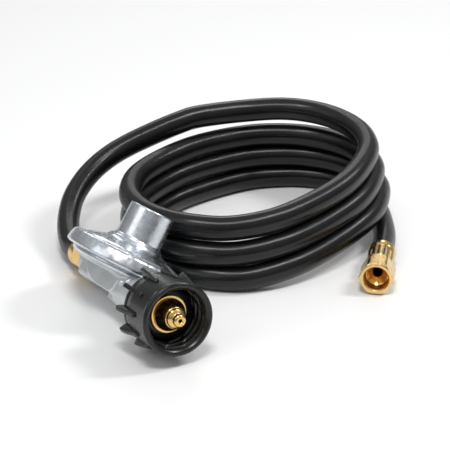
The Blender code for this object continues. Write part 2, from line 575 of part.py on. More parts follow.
def make_far_end(mats):
    turned = far_turn()
    frame = empty("far_fitting", HOSE_FAR_END + turned @ Vector((0, -GAP, 0)), turned)
    ferrule = [(4.6 * MM, 0), (8.0 * MM, 0), (FERRULE_R, 0.6 * MM), (FERRULE_R, 3.4 * MM), (8.1 * MM, 4.2 * MM),
               (8.1 * MM, FERRULE_LENGTH - 1.4 * MM), (7.4 * MM, FERRULE_LENGTH), (4.6 * MM, FERRULE_LENGTH)]
    sleeve = add_mesh("hose_ferrule", turn(ferrule, "-Y", 32), mats["brass"], frame)
    grooves = []
    for i in range(8):
        groove = block((7.5 * MM, -0.8 * MM, 6 * MM), (12 * MM, 0.8 * MM, FERRULE_LENGTH + 3 * MM))
        bmesh.ops.rotate(groove, verts=groove.verts, matrix=Matrix.Rotation(TAU * (i + 0.5) / 8, 3, "Z"))
        bmesh.ops.rotate(groove, verts=groove.verts, matrix=Matrix.Rotation(math.pi / 2, 3, "X"))
        grooves.append(groove)
    combine(sleeve, merge(grooves), "DIFFERENCE")
    face = FLARE_AT + FLARE_LENGTH
    seat = face - 6.6 * MM
    stem = [(2.7 * MM, 0.6 * MM), (4.3 * MM, 0.6 * MM), (4.3 * MM, FLARE_AT + 6.4 * MM), (6.9 * MM, FLARE_AT + 8.4 * MM),
            (6.9 * MM, seat), (6.5 * MM, seat), (2.7 * MM, seat - 3.8 * MM)]
    add_mesh("flare_stem", turn(stem, "-Y", 24), mats["brass"], frame)
    nut = add_mesh("flare_nut", hex_prism(FLARE_HEX, FLARE_AT, face, "-Y", 0.5 * MM, 0), mats["brass"], frame)
    bore = [(0, FLARE_AT - 3 * MM), (4.7 * MM, FLARE_AT - 3 * MM), (4.7 * MM, FLARE_AT + 6.0 * MM),
            (7.25 * MM, FLARE_AT + 8.2 * MM), (7.25 * MM, face - 0.9 * MM), (8.1 * MM, face + 0.05 * MM),
            (8.1 * MM, face + 4 * MM), (0, face + 4 * MM)]
    combine(nut, turn(bore, "-Y", 28), "DIFFERENCE")


def main():
    clear_scene()
    mats = {
        "cast": material("cast_zinc", (0.62, 0.63, 0.62), 0.42, 1.0),
        "bonnet": material("bright_zinc", (0.72, 0.74, 0.76), 0.22, 1.0),
        "zinc": material("plain_zinc", (0.60, 0.61, 0.62), 0.35, 1.0),
        "steel": material("spring_steel", (0.55, 0.56, 0.58), 0.30, 1.0),
        "brass": material("brass", (0.80, 0.60, 0.28), 0.25, 1.0),
        "rubber": material("nitrile", (0.03, 0.03, 0.03), 0.70, 0.0),
        "nut": material("black_nylon", (0.035, 0.037, 0.036), 0.38, 0.0),
        "poppet": material("acetal", (0.75, 0.73, 0.66), 0.45, 0.0),
        "hose": material("hose_rubber", (0.02, 0.021, 0.02), 0.42, 0.0),
    }
    regulator = empty("regulator", REGULATOR_AT, regulator_turn())
    make_body_casting(regulator, mats)
    make_bonnet(regulator, mats)
    make_vent_screen(regulator, mats)
    make_orifice(regulator, mats)
    add_mesh("lever_pin", rod(PIN_R, -6 * MM, 11 * MM, "+X", 16), mats["steel"], regulator, (0, VALVE_Y, PIN_Z))
    make_diaphragm(regulator, mats)
    make_spring_stack(regulator, mats)
    make_inlet(regulator, mats)
    make_check_spring(regulator, mats)
    make_adapter(regulator, mats)

    moving_plate = empty("diaphragm_axis", (0, 0, 0), parent=regulator)
    make_diaphragm_plate(moving_plate, mats)
    make_stem(moving_plate, mats)
    lever_axis = empty("lever_axis", (0, VALVE_Y, PIN_Z), parent=regulator)
    make_lever(lever_axis, mats)
    valve_axis = empty("valve_axis", (0, 0, 0), parent=regulator)
    make_valve(valve_axis, mats)
    make_adjuster(regulator, mats)
    make_tower_cap(regulator, mats)
    nut_axis = empty("nut_axis", (0, 0, 0), parent=regulator)
    make_hand_nut(nut_axis, mats)
    make_thermal_bushing(nut_axis, mats)
    make_check(regulator, mats)

    make_hose(mats)
    make_far_end(mats)


main()
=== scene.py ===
import bpy
import bmesh
import math
from mathutils import Matrix, Vector


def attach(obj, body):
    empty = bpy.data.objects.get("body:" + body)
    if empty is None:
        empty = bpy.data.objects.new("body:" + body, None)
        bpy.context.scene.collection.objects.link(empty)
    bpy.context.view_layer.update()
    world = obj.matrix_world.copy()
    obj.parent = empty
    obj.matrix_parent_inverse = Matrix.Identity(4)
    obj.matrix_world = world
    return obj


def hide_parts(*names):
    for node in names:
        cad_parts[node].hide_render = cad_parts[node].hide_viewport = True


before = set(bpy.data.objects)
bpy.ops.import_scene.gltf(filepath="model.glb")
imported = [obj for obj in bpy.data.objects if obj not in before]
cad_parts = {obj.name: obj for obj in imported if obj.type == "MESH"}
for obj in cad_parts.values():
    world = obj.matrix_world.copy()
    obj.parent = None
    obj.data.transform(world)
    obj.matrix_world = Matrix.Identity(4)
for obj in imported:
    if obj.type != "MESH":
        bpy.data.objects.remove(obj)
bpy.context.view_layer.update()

MM = 0.001
TAU = 2 * math.pi

# ---- the CAD part's own frames and hose route ----
# A length multiplied by MM is in metres. The others are in millimetres, as is every number that shapes
# a piece below.
MIDDLE = Vector((-7.72, 11.67, 0.0)) * MM
REGULATOR_AT = MIDDLE + Vector((0.0, 0.0, 16.47)) * MM
INLET_RISE = math.radians(8.4)
TOWER_LEAN = math.radians(34.9)
FAR_YAW = math.radians(-37.4)
FAR_RISE = math.radians(2.6)
FAR_AT = MIDDLE + Vector((170.7, -23.6, 8.75)) * MM
OUTLET_Z = 3.8
ADAPTER_END = 61.3
GAP = 0.3
HOSE_R = 7.15 * MM
COIL_AT = Vector((120.0, 58.3)) * MM
COIL_SHIFT = Vector((1.7, -2.2)) * MM
COIL_LONG = 83.9 * MM
COIL_SHORT = 66.4 * MM
COIL_GROW = (2.8 * MM, 0.7 * MM)
COIL_ROUND = 50.0 * MM
COIL_TILT = math.radians(20.3)
COIL_ZERO = -107                     # degrees along the coil, as are COIL_START and COIL_END
COIL_START = -78
COIL_END = 1062
COIL_POINTS = 49
COIL_DROPS = [(27, 114), (389, 474), (753, 836)]     # where each turn steps down to the next layer
COIL_TUCK = (880, 75, 7.5 * MM)      # centre and half-width in degrees, and the way out
COIL_LIFT = (-48, 95, 3.6 * MM)      # centre and half-width in degrees, and the way up
LAYER = 15.6 * MM
COIL_FLOOR = 7.3 * MM
LEAD_IN = [(3.4, 78.5, 10.3), (6.6, 89.6, 13.2), (12.2, 101.6, 17.4), (21.0, 114.2, 23.4),
           (32.7, 124.0, 29.6), (44.9, 130.3, 35.0), (57.9, 133.6, 40.0), (70.0, 134.4, 44.0),
           (81.4, 133.9, 47.5), (94.1, 132.8, 51.2), (106.9, 131.8, 54.4), (120.9, 131.2, 56.4)]
LEAD_OUT = [(210.2, 55.8, 7.3), (205.2, 35.2, 7.3), (195.9, 14.8, 7.4), (186.6, -1.8, 7.8)]
HOSE_STRAIGHT = 9.0 * MM
ROUTE_STEPS = 16                     # points worked out between two that the route passes through
ROUTE_SMOOTHINGS = 6

# ---- the hose cover ----
RING_STEP, RING_SIDES = 2.5 * MM, 32
RIB_PITCH = 1.2 * MM
COIL_WIDER = 0.1 * MM                # what the cover's half-widths grow by in the coil
COIL_TALLER = 0.6 * MM
COIL_RAISED = 0.45 * MM
ROUND_NEAR, ROUND_FAR, ROUND_FADE = 0.05, 0.03, 0.10     # lengths of round hose at the ends, metres

# ---- camera, light and floor ----
CAMERA_AIM = MIDDLE + Vector((81.1, 17.0, 30.0)) * MM
CAMERA_FROM = (-27.8, 24, 1.05)      # azimuth and elevation in degrees, and distance
CAMERA_LENS, CAMERA_SENSOR = 136.1, 36
SOFTBOXES = {                        # azimuth, elevation and distance, then size and power
    "front": ((-30, 64, 1.5), (0.36, 0.24), 9.5),
    "right": ((65, 50, 1.5), (0.24, 0.36), 8),
    "left": ((-85, 40, 1.6), (0.8, 0.8), 2.5),
    "back": ((152, 32, 1.6), (0.9, 0.4), 4),
}
FLOOR_SIZE, FLOOR_COLOUR, FLOOR_ROUGHNESS = 4, (0.86, 0.86, 0.855), 0.55
SKY = [(0.05, (0.20, 0.205, 0.21)), (0.9, (0.62, 0.62, 0.63))]     # height and colour

REGULATOR_TURN = Matrix.Rotation(-INLET_RISE, 3, "X") @ Matrix.Rotation(TOWER_LEAN, 3, "Y")
FAR_TURN = Matrix.Rotation(FAR_YAW, 3, "Z") @ Matrix.Rotation(-FAR_RISE, 3, "X")
REGULATOR = Matrix.Translation(REGULATOR_AT) @ REGULATOR_TURN.to_4x4()
FAR = Matrix.Translation(FAR_AT + FAR_TURN @ Vector((0, -GAP * MM, 0))) @ FAR_TURN.to_4x4()
TO_INLET = Matrix.Rotation(math.pi / 2, 4, "X")      # turns a lathed piece's Z to -Y
TO_OUTLET = Matrix.Rotation(-math.pi / 2, 4, "X")
OUTLET = Matrix.Translation((0, 0, OUTLET_Z * MM)) @ TO_OUTLET


# ---------------------------------------------------------------- camera and light

def look_at(data, name, azimuth, elevation, distance):
    """Adds a camera or a light that faces the middle of the picture."""
    a, e = math.radians(azimuth), math.radians(elevation)
    back = Vector((math.sin(a) * math.cos(e), -math.cos(a) * math.cos(e), math.sin(e)))
    obj = bpy.data.objects.new(name, data)
    bpy.context.scene.collection.objects.link(obj)
    obj.location = CAMERA_AIM + back * distance
    obj.rotation_mode = "QUATERNION"
    obj.rotation_quaternion = (-back).to_track_quat("-Z", "Y")
    return obj


def add_camera():
    data = bpy.data.cameras.new("camera")
    data.sensor_width = CAMERA_SENSOR
    data.lens = CAMERA_LENS
    bpy.context.scene.camera = look_at(data, "camera", *CAMERA_FROM)


def add_softboxes():
    for name, (place, size, power) in SOFTBOXES.items():
        data = bpy.data.lights.new(name, "AREA")
        data.shape = "RECTANGLE"
        data.size, data.size_y = size
        data.energy = power
        look_at(data, name, *place)


def add_stage():
    bm = bmesh.new()
    bmesh.ops.create_grid(bm, x_segments=1, y_segments=1, size=FLOOR_SIZE)
    mesh = bpy.data.meshes.new("floor")
    bm.to_mesh(mesh)
    bm.free()
    floor = bpy.data.objects.new("floor", mesh)
    bpy.context.scene.collection.objects.link(floor)
    floor.data.materials.append(Shader("pale_floor", FLOOR_COLOUR, FLOOR_ROUGHNESS).mat)
    world = bpy.data.worlds.new("studio")
    bpy.context.scene.world = world
    world.use_nodes = True
    nodes, links = world.node_tree.nodes, world.node_tree.links
    place = nodes.new("ShaderNodeTexCoord")
    height = nodes.new("ShaderNodeSeparateXYZ")
    links.new(place.outputs["Generated"], height.inputs["Vector"])
    fade = nodes.new("ShaderNodeValToRGB")
    for element, (at, colour) in zip(fade.color_ramp.elements, SKY):
        element.position = at
        element.color = (*colour, 1)
    links.new(height.outputs["Z"], fade.inputs["Fac"])
    links.new(fade.outputs["Color"], nodes["Background"].inputs["Color"])
    nodes["Background"].inputs["Strength"].default_value = 1.0
    bpy.context.scene.view_settings.view_transform = "Standard"


# ---------------------------------------------------------------- materials

class Shader:
    """A Principled material and short ways to add the nodes that feed it."""

    def __init__(self, name, colour, roughness, metallic=0.0, axes=None, **sockets):
        self.mat = bpy.data.materials.new(name)
        self.mat.use_nodes = True
        self.nodes = self.mat.node_tree.nodes
        self.links = self.mat.node_tree.links
        self.out = self.nodes["Principled BSDF"]
        self.out.inputs["Base Color"].default_value = (*colour, 1)
        self.out.inputs["Roughness"].default_value = roughness
        self.out.inputs["Metallic"].default_value = metallic
        for key, value in sockets.items():
            self.out.inputs[key.replace("_", " ")].default_value = value
        self.place = self.nodes.new("ShaderNodeTexCoord").outputs["Object"]
        if axes:
            node = self.nodes.new("ShaderNodeMapping")
            node.vector_type = "TEXTURE"
            node.inputs["Location"].default_value = axes.to_translation()
            node.inputs["Rotation"].default_value = axes.to_euler()
            self.links.new(self.place, node.inputs["Vector"])
            self.place = node.outputs["Vector"]

    def link(self, source, target):
        self.links.new(source, target)

    def stretched(self, scale):
        node = self.nodes.new("ShaderNodeMapping")
        node.inputs["Scale"].default_value = scale
        self.link(self.place, node.inputs["Vector"])
        return node.outputs["Vector"]

    def noise(self, scale, detail, vector=None, distortion=0.0):
        node = self.nodes.new("ShaderNodeTexNoise")
        node.inputs["Scale"].default_value = scale
        node.inputs["Detail"].default_value = detail
        node.inputs["Distortion"].default_value = distortion
        self.link(vector or self.place, node.inputs["Vector"])
        return node.outputs["Fac"]

    def colour(self, source, low, dark, high, light):
        """The colour goes from dark to light as the source goes from low to high."""
        node = self.nodes.new("ShaderNodeValToRGB")
        for element, at, shade in zip(node.color_ramp.elements, (low, high), (dark, light)):
            element.position = at
            element.color = (*shade, 1)
        self.link(source, node.inputs["Fac"])
        self.link(node.outputs["Color"], self.out.inputs["Base Color"])

    def rough(self, source, low, high):
        """The roughness goes from low to high over the middle of the source's range."""
        node = self.nodes.new("ShaderNodeMapRange")
        for key, value in (("From Min", 0.3), ("From Max", 0.7), ("To Min", low), ("To Max", high)):
            node.inputs[key].default_value = value
        self.link(source, node.inputs["Value"])
        self.link(node.outputs["Result"], self.out.inputs["Roughness"])

    def sum(self, first, second, weight):
        node = self.nodes.new("ShaderNodeMath")
        node.operation = "MULTIPLY_ADD"
        self.link(second, node.inputs[0])
        node.inputs[1].default_value = weight
        self.link(first, node.inputs[2])
        return node.outputs["Value"]

    def bump(self, height, distance, strength):
        node = self.nodes.new("ShaderNodeBump")
        node.inputs["Strength"].default_value = strength
        node.inputs["Distance"].default_value = distance
        self.link(height, node.inputs["Height"])
        self.link(node.outputs["Normal"], self.out.inputs["Normal"])


def polished_zinc():
    """Turned and tumbled zinc: bluish, with fine turning lines and small dents."""
    s = Shader("polished_zinc", (0.70, 0.72, 0.745), 0.2, 1.0, REGULATOR)
    s.colour(s.noise(70, 4), 0.3, (0.52, 0.56, 0.60), 0.7, (0.68, 0.71, 0.74))
    s.rough(s.noise(260, 5), 0.18, 0.36)
    lines = s.noise(1, 2, s.stretched((160, 160, 5200)))
    dents = s.noise(240, 2)
    s.bump(s.sum(dents, lines, 0.5), 0.000012, 0.6)
    return s.mat


def cast_zinc():
    """As-cast zinc: satin, light grey, with a soft flow pattern and fine grain."""
    s = Shader("cast_zinc", (0.70, 0.71, 0.71), 0.36, 1.0, REGULATOR)
    s.colour(s.noise(48, 5, distortion=0.6), 0.3, (0.60, 0.62, 0.635), 0.7, (0.76, 0.775, 0.78))
    s.rough(s.noise(120, 4), 0.46, 0.58)
    s.bump(s.sum(s.noise(150, 3), s.noise(1500, 2), 0.25), 0.00006, 0.55)
    return s.mat


def turned_brass(name, colour, dull, axes):
    """Machined brass: fine tool marks round the axis, with warm and dull patches."""
    s = Shader(name, colour, 0.2, 1.0, axes)
    dark = tuple(c * dull for c in colour)
    s.colour(s.noise(110, 4, distortion=0.4), 0.32, dark, 0.68, colour)
    s.rough(s.noise(330, 4), 0.13, 0.27)
    lines = s.noise(1, 2, s.stretched((150, 5200, 150)))
    s.bump(s.sum(s.noise(500, 2), lines, 0.8), 0.00004, 0.6)
    return s.mat


def moulded_nylon():
    """Black moulded plastic: soft sheen, a fine grain, and a faint scuffed bloom."""
    s = Shader("moulded_nylon", (0.008, 0.0083, 0.008), 0.28, 0.0, Specular_IOR_Level=0.42)
    s.colour(s.noise(60, 4), 0.3, (0.006, 0.0063, 0.006), 0.75, (0.012, 0.0123, 0.0117))
    s.rough(s.noise(220, 4), 0.22, 0.33)
    s.bump(s.sum(s.noise(900, 2), s.noise(160, 2), 0.5), 0.00005, 0.6)
    return s.mat


def hose_rubber():
    """Black rubber cover: fine ribs across the hose, read from how far along it a point lies."""
    s = Shader("hose_rubber", (0.005, 0.0052, 0.005), 0.22, 0.0, Specular_IOR_Level=0.38)
    along = s.nodes.new("ShaderNodeAttribute")
    along.attribute_name = "along"
    ribs = s.nodes.new("ShaderNodeMath")
    ribs.operation = "MULTIPLY"
    s.link(along.outputs["Fac"], ribs.inputs[0])
    ribs.inputs[1].default_value = TAU / RIB_PITCH
    wave = s.nodes.new("ShaderNodeMath")
    wave.operation = "SINE"
    s.link(ribs.outputs["Value"], wave.inputs[0])
    s.colour(s.noise(38, 4), 0.3, (0.0035, 0.0037, 0.0035), 0.75, (0.0075, 0.0076, 0.0073))
    s.rough(s.noise(140, 4), 0.17, 0.25)
    s.bump(s.sum(wave.outputs["Value"], s.noise(1100, 2), 0.2), 0.00004, 1.0)
    return s.mat


def hidden_metal(name, colour, roughness):
    """Drawn or pressed metal inside the regulator."""
    s = Shader(name, colour, roughness, 1.0)
    s.colour(s.noise(120, 3), 0.3, tuple(0.82 * c for c in colour), 0.7, colour)
    s.rough(s.noise(300, 3), roughness - 0.07, roughness + 0.08)
    s.bump(s.noise(700, 2), 0.00004, 0.5)
    return s.mat


def hidden_soft(name, colour, roughness):
    """Rubber or moulded plastic inside the regulator."""
    s = Shader(name, colour, roughness)
    s.colour(s.noise(120, 3), 0.3, tuple(0.75 * c for c in colour), 0.7, colour)
    s.rough(s.noise(260, 3), roughness - 0.08, roughness + 0.08)
    s.bump(s.noise(800, 2), 0.00005, 0.5)
    return s.mat


# ---------------------------------------------------------------- shapes

def fillet(points, radius, steps=3):
    """A closed outline with each corner rounded; a third number on a point gives its own radius."""
    rounded = []
    count = len(points)
    for i, point in enumerate(points):
        here = Vector(point[:2])
        before, after = Vector(points[i - 1][:2]), Vector(points[(i + 1) % count][:2])
        own = point[2] if len(point) > 2 else radius
        if here.x < 1e-6 or own <= 0:
            rounded.append(here)
            continue
        reach_in = min(own, (before - here).length * 0.48)
        reach_out = min(own, (after - here).length * 0.48)
        start = here + (before - here).normalized() * reach_in
        end = here + (after - here).normalized() * reach_out
        for k in range(steps + 1):
            t = k / steps
            rounded.append(start * (1 - t) ** 2 + here * 2 * t * (1 - t) + end * t * t)
    return rounded


def densify(points, step):
    """The same closed outline, with extra points along its long straight runs."""
    dense = []
    for here, after in zip(points, points[1:] + points[:1]):
        here, after = Vector(here[:2]), Vector(after[:2])
        parts = max(1, int(math.ceil((after - here).length / step)))
        dense += [here.lerp(after, k / parts) for k in range(parts)]
    return dense


def lathe(points, sides=96, warp=None):
    """A closed outline of (radius, height), turned about Z; warp(radius, height, angle) moves points."""
    bm = bmesh.new()
    columns = []
    for radius, height, *_ in points:
        if radius < 1e-6:
            columns.append([bm.verts.new((0, 0, height * MM))] * sides)
            continue
        ring = []
        for i in range(sides):
            angle = TAU * i / sides
            r, h = warp(radius, height, angle) if warp else (radius, height)
            ring.append(bm.verts.new((r * MM * math.cos(angle), r * MM * math.sin(angle), h * MM)))
        columns.append(ring)
    for low, high in zip(columns, columns[1:] + columns[:1]):
        for i in range(sides):
            corners = []
            for vert in (low[i], low[(i + 1) % sides], high[(i + 1) % sides], high[i]):
                if vert not in corners:
                    corners.append(vert)
            if len(corners) > 2:
                bm.faces.new(corners)
    return bm


def turned(bm, matrix):
    bmesh.ops.transform(bm, matrix=matrix, verts=bm.verts)
    return bm


def box(low, high):
    bm = bmesh.new()
    bmesh.ops.create_cube(bm, size=1)
    low, high = Vector(low) * MM, Vector(high) * MM
    bmesh.ops.scale(bm, vec=high - low, verts=bm.verts)
    bmesh.ops.translate(bm, vec=(low + high) / 2, verts=bm.verts)
    return bm


def joined(meshes):
    bm = bmesh.new()
    for part in meshes:
        temp = bpy.data.meshes.new("temp")
        part.to_mesh(temp)
        part.free()
        bm.from_mesh(temp)
        bpy.data.meshes.remove(temp)
    return bm


def new_object(name, bm, matrix, sharp=35):
    bmesh.ops.recalc_face_normals(bm, faces=bm.faces)
    mesh = bpy.data.meshes.new(name)
    bm.to_mesh(mesh)
    bm.free()
    mesh.shade_smooth()
    mesh.set_sharp_from_angle(angle=math.radians(sharp))
    obj = bpy.data.objects.new(name, mesh)
    bpy.context.scene.collection.objects.link(obj)
    obj.matrix_world = matrix
    return obj


def apply_modifiers(obj, sharp=35):
    bpy.context.view_layer.update()
    graph = bpy.context.evaluated_depsgraph_get()
    mesh = bpy.data.meshes.new_from_object(obj.evaluated_get(graph))
    obj.modifiers.clear()
    obj.data = mesh
    mesh.shade_smooth()
    mesh.set_sharp_from_angle(angle=math.radians(sharp))


def boolean(obj, bm, operation):
    """Joins or cuts with a closed mesh in the object's own axes."""
    guide = new_object("guide", bm, obj.matrix_world.copy())
    mod = obj.modifiers.new("boolean", "BOOLEAN")
    mod.operation = operation
    mod.object = guide
    mod.solver = "EXACT"
    apply_modifiers(obj)
    bpy.data.objects.remove(guide)


def finish_piece(obj, material, slot, body, *nodes):
    """Settles a piece in the world, with its material, its body and the CAD nodes it stands for."""
    obj.data.transform(obj.matrix_world)
    obj.matrix_world = Matrix.Identity(4)
    obj.data.materials.clear()
    obj.data.materials.append(material)
    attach(obj, body)
    if nodes:
        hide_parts(*nodes)


def hexagon(across_flats, low, high, crown, corner_deg=0.0):
    """A hexagon bar with its corners turned down to a cone at each end, as a nut's are."""
    flat = across_flats / 2
    corner = flat / math.cos(math.pi / 6)
    edge, steps = 0.12, 6            # the bevel at each end, and the points along a cone
    inner, outer = flat + 0.25, corner + 0.1

    def warp(radius, height, angle):
        swing = (angle - math.radians(corner_deg)) % (TAU / 6) - TAU / 12
        reach = min(flat / math.cos(swing), corner - 0.22)
        return (min(radius, reach) if radius > flat * 0.9 else radius), height

    outline = [(0.0, low, 0), (flat - 0.25, low, 0), (inner, low + edge, 0)]
    for k in range(steps + 1):
        outline.append((inner + (corner + 0.1 - flat - 0.25) * k / steps,
                        low + edge + crown * k / steps, 0))
    for k in range(steps + 1):
        outline.append((outer - (corner + 0.1 - flat - 0.25) * k / steps,
                        high - edge - crown + crown * k / steps, 0))
    outline += [(inner, high - edge, 0), (flat - 0.25, high, 0), (0.0, high, 0)]
    return lathe(outline, 96, warp)


# ---------------------------------------------------------------- hose

def smooth_step(share):
    """0 up to a share of 0, 1 from a share of 1, and a smooth S between them."""
    share = min(1.0, max(0.0, share))
    return share * share * (3 - 2 * share)


def coil_point(degrees):
    """A place on the coil, a rounded oval that grows, shifts and steps down as it winds."""
    turns = (degrees - COIL_ZERO) / 360
    angle = -math.radians(degrees) - COIL_TILT
    long_part = COIL_LONG + COIL_GROW[0] * turns - COIL_ROUND
    short_part = COIL_SHORT + COIL_GROW[1] * turns - COIL_ROUND
    across, along = math.cos(angle), math.sin(angle)
    reach = math.hypot(long_part * across, short_part * along)
    x = across * (long_part * long_part / reach + COIL_ROUND)
    y = along * (short_part * short_part / reach + COIL_ROUND)
    flat = COIL_AT + COIL_SHIFT * turns + Matrix.Rotation(COIL_TILT, 2) @ Vector((x, y))
    tuck_at, tuck_width, tuck = COIL_TUCK
    flat.x += tuck * smooth_step(1 - abs(degrees - tuck_at) / tuck_width)
    drops = sum(smooth_step((degrees - low) / (high - low)) for low, high in COIL_DROPS)
    lift_at, lift_width, lift = COIL_LIFT
    rise = lift * smooth_step(1 - abs(degrees - lift_at) / lift_width)
    return Vector((flat.x, flat.y, COIL_FLOOR + LAYER * (len(COIL_DROPS) - drops) + rise))


def hose_route(step):
    """The hose's centre line in even steps, and its length: a smoothed curve through the route's points."""
    near = REGULATOR @ Vector((0, (ADAPTER_END + GAP) * MM, OUTLET_Z * MM))
    near_way, far_way = REGULATOR_TURN @ Vector((0, 1, 0)), FAR_TURN @ Vector((0, 1, 0))
    points = [near, near + near_way * HOSE_STRAIGHT] + [MIDDLE + Vector(p) * MM for p in LEAD_IN]
    for i in range(COIL_POINTS):
        points.append(MIDDLE + coil_point(COIL_START + (COIL_END - COIL_START) * i / (COIL_POINTS - 1)))
    points += [MIDDLE + Vector(p) * MM for p in LEAD_OUT] + [FAR_AT + far_way * HOSE_STRAIGHT, FAR_AT]
    ends = [points[0] * 2 - points[1]] + points + [points[-1] * 2 - points[-2]]
    dense = []
    for a, b, c, d in zip(ends, ends[1:], ends[2:], ends[3:]):
        for k in range(ROUTE_STEPS):
            t = k / ROUTE_STEPS
            dense.append(0.5 * (2 * b + (c - a) * t + (2 * a - 5 * b + 4 * c - d) * t ** 2
                                + (3 * b - a - 3 * c + d) * t ** 3))
    dense.append(points[-1])
    for _ in range(ROUTE_SMOOTHINGS):
        inner = [(a + b * 2 + c) / 4 for a, b, c in zip(dense, dense[1:], dense[2:])]
        dense = [dense[0]] + inner + [dense[-1]]
    length = sum((q - p).length for p, q in zip(dense, dense[1:]))
    count = int(round(length / step))
    spaced, walked, goal = [dense[0]], 0.0, length / count
    for p, q in zip(dense, dense[1:]):
        span = (q - p).length
        while walked + span >= goal * len(spaced) - 1e-9 and len(spaced) < count:
            spaced.append(p.lerp(q, (goal * len(spaced) - walked) / span))
        walked += span
    spaced.append(dense[-1])
    return spaced, length


def make_hose(material):
    """The hose cover: round at its ends, and a little taller than it is wide in the coil."""
    path, length = hose_route(RING_STEP)
    bm = bmesh.new()
    along_layer = bm.verts.layers.float.new("along")
    rings = []
    centre_line = []
    for i, point in enumerate(path):
        way = (path[min(i + 1, len(path) - 1)] - path[max(i - 1, 0)]).normalized()
        up = (Vector((0, 0, 1)) - way * way.z).normalized()
        side = way.cross(up)
        walked = length * i / (len(path) - 1)
        oval = smooth_step((walked - ROUND_NEAR) / ROUND_FADE)
        oval *= smooth_step((length - walked - ROUND_FAR) / ROUND_FADE)
        wide, tall = HOSE_R + COIL_WIDER * oval, HOSE_R + COIL_TALLER * oval
        centre = point + Vector((0, 0, COIL_RAISED * oval))
        centre_line.append(centre)
        ring = []
        for k in range(RING_SIDES):
            swing = TAU * k / RING_SIDES
            vert = bm.verts.new(centre + side * math.cos(swing) * wide + up * math.sin(swing) * tall)
            vert[along_layer] = walked
            ring.append(vert)
        rings.append(ring)
    for first, second in zip(rings, rings[1:]):
        for k in range(RING_SIDES):
            nxt = (k + 1) % RING_SIDES
            bm.faces.new((first[k], first[nxt], second[nxt], second[k]))
    bm.faces.new(rings[0])
    bm.faces.new(list(reversed(rings[-1])))
    hose = new_object("hose_cover", bm, Matrix.Identity(4), 50)
    finish_piece(hose, material, "hose_rubber", "housing", "hose")
    return hose, centre_line, length


# ---------------------------------------------------------------- far fitting

def make_far_end(mats):
    """The crimped ferrule, the flare seat behind it, and the swivel nut that turns on the seat."""
    crimps, crimp_depth = 8, 0.95

    def crimped(radius, height, angle):
        if radius < 7.6:
            return radius, height
        swing = (angle * crimps / TAU) % 1.0
        ridge = smooth_step((0.16 - abs(swing - 0.5)) / 0.10)
        hold = smooth_step((height - 3.6) / 1.6) * smooth_step((22.3 - height) / 1.2)
        return radius - hold * (crimp_depth - crimp_depth * ridge), height

    outline = fillet([(4.7, 0.1, 0), (7.5, 0.1), (8.7, 0.0), (8.8, 1.2), (8.5, 2.6), (8.45, 22.6),
                      (7.2, 23.0), (4.7, 23.0, 0)], 0.5)
    sleeve = lathe(densify(outline, 0.7), 160, crimped)
    ferrule = new_object("ferrule", turned(sleeve, TO_INLET), FAR, 60)
    finish_piece(ferrule, mats["far_brass"], "brass", "housing", "hose_ferrule")

    rear, face = 26.0, 43.3
    seat = face - 6.6
    stem = [(2.7, 0.6, 0), (4.3, 0.6), (4.3, 23.2, 0), (6.2, 23.4), (6.2, 24.8), (4.3, 25.0, 0.1),
            (4.3, rear + 6.4, 0.5), (6.9, rear + 8.4), (6.9, seat, 0.15), (6.5, seat + 0.02, 0.1),
            (2.7, seat - 3.8, 0.25)]
    stem = new_object("flare_seat", turned(lathe(fillet(stem, 0.3), 96), TO_INLET), FAR, 40)
    finish_piece(stem, mats["copper"], "brass", "housing", "flare_stem")

    nut = new_object("flare_swivel", turned(hexagon(19.05, rear, face, 0.95), TO_INLET), FAR, 30)
    bore = [(0, rear - 3), (5.6, rear - 3), (5.6, rear, 0.1), (4.75, rear + 0.9), (4.75, rear + 6.0),
            (7.25, rear + 8.2, 0.3), (7.25, face - 1.0, 0.25), (8.1, face + 0.02, 0), (8.1, face + 4),
            (0, face + 4)]
    thread_pitch, thread_depth = 1.41, 0.10

    def threads(radius, height, angle):
        if not 7.0 < radius < 7.5 or height > face - 1.3:
            return radius, height
        hold = smooth_step((height - seat - 0.4) / 0.8) * smooth_step((face - 1.4 - height) / 0.8)
        turn_share = (height / thread_pitch - angle / TAU) % 1.0
        return radius + hold * thread_depth * (1 - abs(2 * turn_share - 1) * 2), height

    socket = lathe(densify(fillet(bore, 0.2, 2), 0.35), 96, threads)
    boolean(nut, turned(socket, TO_INLET), "DIFFERENCE")
    finish_piece(nut, mats["far_brass"], "brass", "swivel_nut", "flare_nut")
    return [ferrule, stem, nut]


# ---------------------------------------------------------------- regulator

def make_pan(mats):
    """The polished, crimped rim and the stepped pan under it."""
    crimps, dent_in, dent_down = 40, 0.12, 0.04

    def crimped(radius, height, angle):
        if radius < 33.3 or height < 13.5:
            return radius, height
        dent = (0.5 + 0.5 * math.cos(crimps * angle)) ** 3
        hold = smooth_step((height - 13.6) / 2.2)
        return radius - dent_in * dent * hold, height - dent_down * dent * smooth_step(height - 17.6)

    outline = [(24.0, 6.4, 0), (24.0, 5.1), (28.5, 5.7, 1), (32.5, 6.9, 0.8), (33.3, 7.9, 0.5),
               (33.4, 9.4, 0.3), (33.0, 9.8, 0.2), (33.6, 10.0, 0.2), (37.0, 10.0, 0.6),
               (38.5, 10.9, 0.8), (38.6, 12.0, 0.6), (38.0, 15.2), (37.3, 17.6, 0.5),
               (36.2, 19.0, 0.9), (34.6, 19.4, 0.8), (31.6, 19.3, 0.4), (31.2, 18.6),
               (33.2, 18.2, 0.1), (33.2, 13.2, 0.2), (27.0, 13.2), (27.0, 8.2, 0.2), (24.2, 8.2, 0)]
    rim = lathe(densify(fillet(outline, 0.5), 1.0), 320, crimped)
    pan = new_object("crimped_pan", rim, REGULATOR, 40)
    finish_piece(pan, mats["zinc"], "cast_zinc", "housing", "body_casting")


